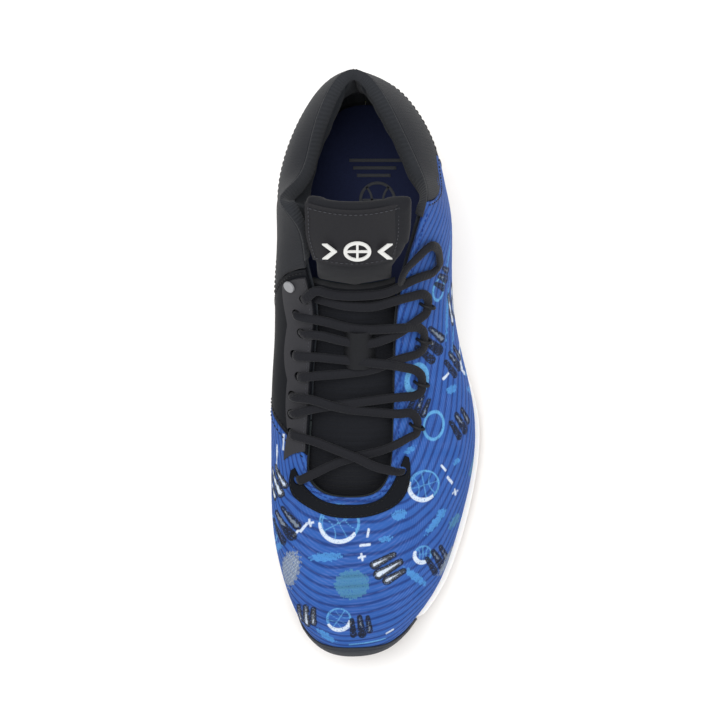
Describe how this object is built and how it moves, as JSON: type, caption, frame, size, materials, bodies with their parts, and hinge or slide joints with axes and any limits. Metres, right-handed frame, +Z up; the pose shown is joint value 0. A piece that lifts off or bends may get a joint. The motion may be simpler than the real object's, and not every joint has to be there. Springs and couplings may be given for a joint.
{
  "type": "basketball high top shoe",
  "caption": "Left high-cut basketball shoe: laced textile upper with padded collar and tongue on a foam midsole and rubber outsole.",
  "frame": {"origin": "on the ground plane, under the middle of the shoe's overall box", "axes": "+Z up, +Y from toe to heel, +X to the shoe's lateral (outer) side"},
  "size_m": [0.1124, 0.3043, 0.1642],
  "materials": {
    "clear_tip": "pressed film tip",
    "piping": "folded binding",
    "pad_foam": "open cell foam",
    "collar_knit": "fine flat knit",
    "lining_fabric": "smooth jersey lining",
    "rivet_metal": "painted grey",
    "gel_cushion": "soft translucent gel",
    "board": "thermoformed board",
    "black_synthetic": "fine-grained synthetic leather",
    "white_print": "moulded raised print",
    "lace_cord": "ribbed woven lace",
    "webbing": "woven webbing",
    "black_cord": "braided cord",
    "grey_overlay": "fused film overlay, semi matte",
    "white_foam": "matte moulded foam",
    "gum_rubber": "matte moulded gum rubber",
    "black_plastic": "satin moulded plastic",
    "navy_sockliner": "brushed textile, printed",
    "strobel_fleece": "needled board",
    "grey_rubber": "satin grey rubber",
    "tongue_textile": "textile, matte",
    "label_synthetic": "embossed synthetic leather",
    "blue_textile": "ridged printed textile",
    "black_overlay": "fused film overlay, semi matte"
  },
  "bodies": {
    "shoe": {"aglets": "clear_tip", "collar_binding": "piping", "collar_foam_lateral": "pad_foam", "collar_foam_medial": "pad_foam", "collar_knit_lateral": "collar_knit", "collar_knit_medial": "collar_knit", "collar_lining_lateral": "lining_fabric", "collar_lining_medial": "lining_fabric", "eyestay_rivet": "rivet_metal", "forefoot_cushion": "gel_cushion", "heel_counter": "board", "heel_cushion": "gel_cushion", "heel_panel": "black_synthetic", "lace": "lace_cord", "lace_keeper": "webbing", "lateral_lace_loops": "black_cord", "medial_eyestay": "grey_overlay", "medial_quarter": "black_synthetic", "midsole": "white_foam", "outsole_forefoot": "gum_rubber", "outsole_heel": "gum_rubber", "quarter_backing_lateral": "pad_foam", "quarter_backing_medial": "pad_foam", "shank_plate": "black_plastic", "strobel_board": "strobel_fleece", "toe_bumper": "grey_rubber", "toe_puff": "board", "tongue_cover": "tongue_textile", "tongue_foam": "pad_foam", "tongue_lining": "lining_fabric", "upper_textile": "blue_textile", "vamp_lining": "lining_fabric", "vamp_strap": "black_overlay"},
    "tongue_top": {"label_mark": "white_print", "tongue_label": "label_synthetic", "tongue_top_cover": "tongue_textile", "tongue_top_foam": "pad_foam", "tongue_top_lining": "lining_fabric"},
    "sockliner": {"sockliner": "navy_sockliner"}
  },
  "joints": [
    {"name": "tongue_top_fold", "type": "hinge", "parent": "shoe", "child": "tongue_top", "pos_m": [-0.0118, 0.0445, 0.109], "axis": [1, 0, 0], "range_deg": [-6, 15], "stiffness_Nm_per_rad": 0.3},
    {"name": "sockliner_lift", "type": "hinge", "parent": "shoe", "child": "sockliner", "pos_m": [-0.0108, -0.1425, 0.0345], "axis": [1, 0, 0], "range_deg": [0, 3]}
  ]
}
